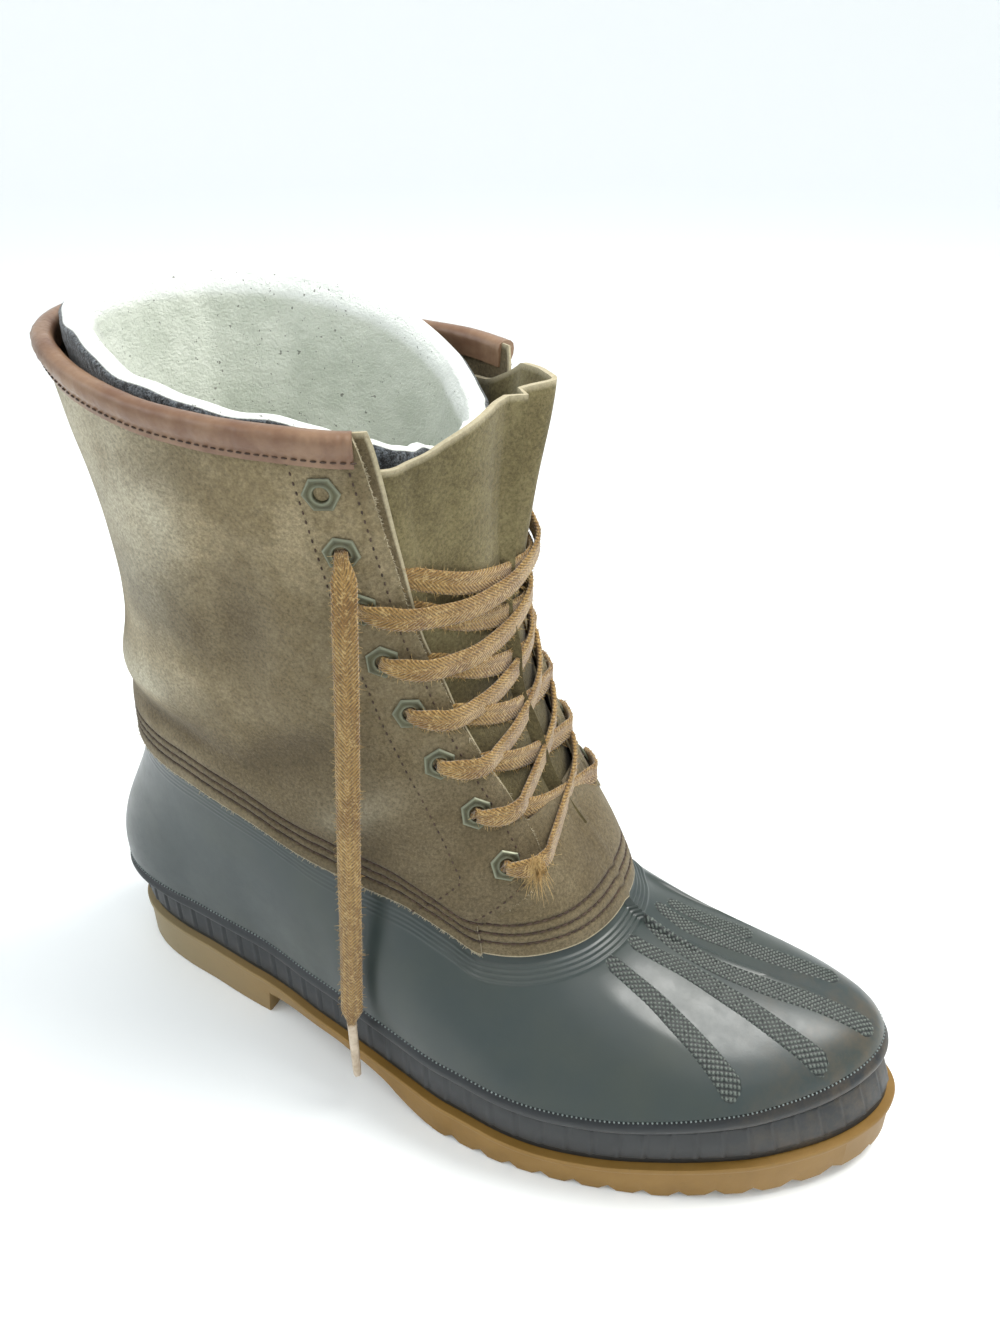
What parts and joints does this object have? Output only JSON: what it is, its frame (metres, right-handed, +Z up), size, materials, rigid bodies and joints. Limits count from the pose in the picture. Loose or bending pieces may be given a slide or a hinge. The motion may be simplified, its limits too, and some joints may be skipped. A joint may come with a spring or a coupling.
{
  "type": "pac boot",
  "caption": "Lace-up winter pac boot for the right foot: moulded rubber foot on a ribbed rand and gum sole, suede leg, bellows tongue, felt liner and flat lace.",
  "frame": {"origin": "on the floor under the middle of the heel", "axes": "+X to the toe, -Y to the outer side of the foot, +Z up"},
  "size_m": [0.3326, 0.1283, 0.2846],
  "materials": {
    "gum_rubber": "matt moulded crepe-coloured rubber",
    "rand_rubber": "satin moulded rubber",
    "foot_rubber": "satin moulded rubber",
    "suede": "waxed suede with a short nap",
    "binding_leather": "smooth folded leather",
    "felt": "thick pressed wool felt",
    "eyelet_metal": "aged nickel with worn edges",
    "lace_cotton": "flat woven cotton, worn and fuzzy",
    "aglet_plastic": "clear shrunk plastic over the lace"
  },
  "bodies": {
    "root": {"outsole": "gum_rubber", "rand": "rand_rubber", "rubber_foot": "foot_rubber", "leather_upper": "suede", "backstay": "suede", "collar_binding": "binding_leather", "tongue": "suede", "felt_liner": "felt", "insole": "felt", "eyelet_outer_1": "eyelet_metal", "eyelet_outer_2": "eyelet_metal", "eyelet_outer_3": "eyelet_metal", "eyelet_outer_4": "eyelet_metal", "eyelet_outer_5": "eyelet_metal", "eyelet_outer_6": "eyelet_metal", "eyelet_outer_7": "eyelet_metal", "eyelet_outer_8": "eyelet_metal", "eyelet_inner_1": "eyelet_metal", "eyelet_inner_2": "eyelet_metal", "eyelet_inner_3": "eyelet_metal", "eyelet_inner_4": "eyelet_metal", "eyelet_inner_5": "eyelet_metal", "eyelet_inner_6": "eyelet_metal", "eyelet_inner_7": "eyelet_metal", "eyelet_inner_8": "eyelet_metal", "lacing": "lace_cotton", "lace_end": "lace_cotton", "aglet": "aglet_plastic"}
  },
  "joints": []
}
